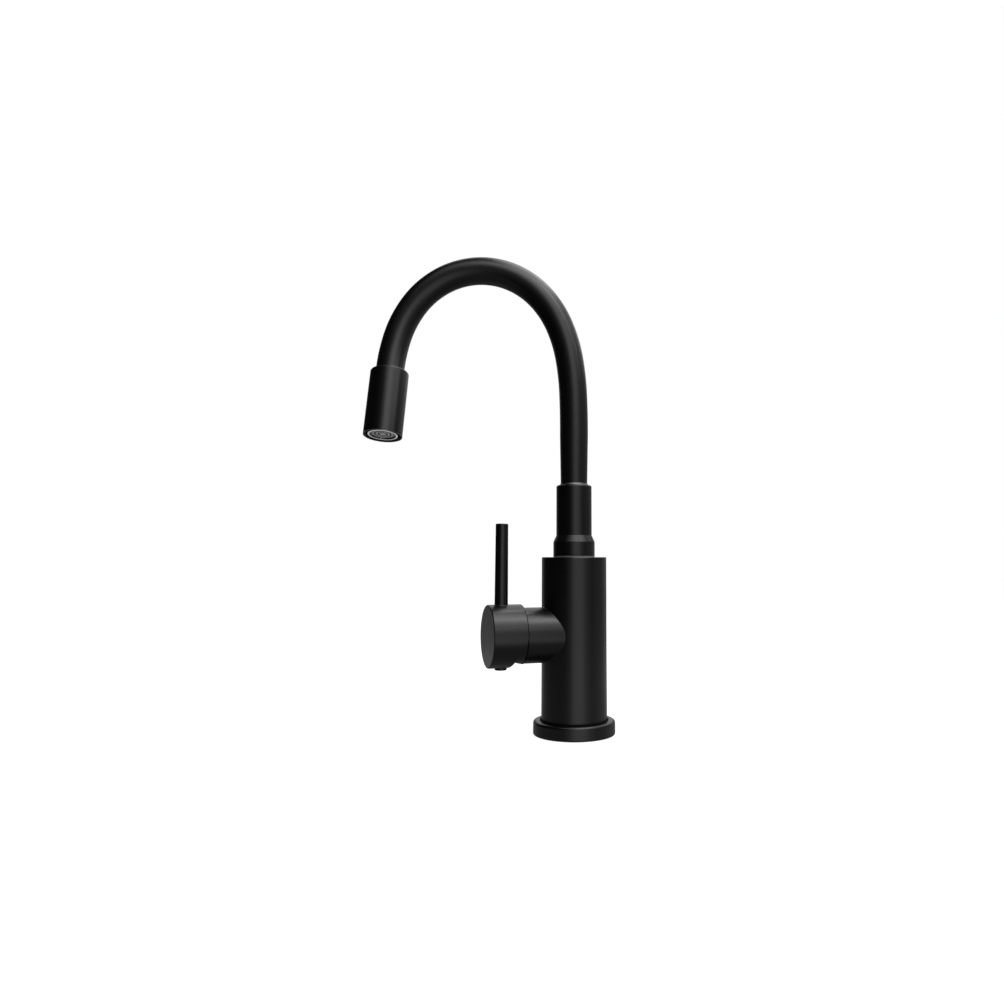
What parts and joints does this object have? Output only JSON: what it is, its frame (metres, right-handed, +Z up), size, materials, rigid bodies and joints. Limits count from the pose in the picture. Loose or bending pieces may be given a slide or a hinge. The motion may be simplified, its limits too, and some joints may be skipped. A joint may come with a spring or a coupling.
{
  "type": "gooseneck bar faucet",
  "caption": "Black bar faucet: a round body with a side mixing lever, and a swivelling neck that arches over to a straight head",
  "frame": {"origin": "the middle of the underside, on the deck and on the swivel axis, where the stud's tapped hole opens", "axes": "+Z up along the swivel axis; -X from the body towards the outlet; -Y to the front, the side that the lever leans to"},
  "size_m": [0.1935, 0.0779, 0.3757],
  "materials": {
    "black_coat": "satin",
    "black_skin": "satin",
    "black_trim": "satin",
    "dark_rubber": "matte",
    "brass": "satin",
    "steel": "satin",
    "bright_chrome": "polished",
    "grey_plastic": "satin",
    "white_plastic": "satin",
    "disc_ceramic": "satin"
  },
  "bodies": {
    "tap_body": {"base_flange": "black_coat", "base_seal": "dark_rubber", "body_shell": "black_coat", "side_housing": "black_coat", "waterway_block": "brass", "spout_seat": "brass", "seat_seal": "dark_rubber", "glide_ring": "grey_plastic", "cartridge_base": "white_plastic", "port_seals": "dark_rubber", "fixed_disc": "disc_ceramic", "cartridge_shell": "white_plastic", "cartridge_nut": "brass", "bonnet": "black_coat"},
    "stem_carrier": {"rotor": "white_plastic", "pivot_pin": "steel"},
    "lever": {"cartridge_stem": "steel", "lever_cap": "black_coat", "lever_rod": "black_coat", "clamp_screw": "steel", "index_plug": "black_trim"},
    "shutter": {"slide_disc": "disc_ceramic", "disc_carrier": "white_plastic"},
    "spout": {"swivel_spigot": "brass", "swivel_seals": "dark_rubber", "split_ring": "steel", "spout_collar": "black_coat", "collar_lip": "bright_chrome", "neck_skin": "black_skin", "neck_core": "steel", "water_hose": "dark_rubber", "collar_ferrule": "steel", "head_ferrule": "steel", "head_sleeve": "black_coat", "head_lip": "bright_chrome", "head_nipple": "brass", "nipple_seal": "dark_rubber", "aerator_ring": "bright_chrome", "aerator_insert": "grey_plastic", "aerator_screen": "steel", "aerator_seal": "dark_rubber"}
  },
  "joints": [
    {"name": "temperature_turn", "type": "hinge", "parent": "tap_body", "child": "stem_carrier", "pos_m": [0, 0, 0.0741], "axis": [-0.9285, -0.3714, 0], "range_deg": [-45, 45]},
    {"name": "flow_lift", "type": "hinge", "parent": "stem_carrier", "child": "lever", "pos_m": [-0.04085, -0.01634, 0.0741], "axis": [0.3714, -0.9285, 0], "range_deg": [0, 25]},
    {"name": "shutter_slide", "type": "slide", "parent": "stem_carrier", "child": "shutter", "axis": [0, 0, 1], "range_m": [0, 0.0039]},
    {"name": "spout_swivel", "type": "hinge", "parent": "tap_body", "child": "spout", "pos_m": [0, 0, 0.1327], "axis": [0, 0, 1], "continuous": true}
  ],
  "couplings": [
    {"joint": "shutter_slide", "follows": "flow_lift", "m_per_rad": 0.0087}
  ]
}
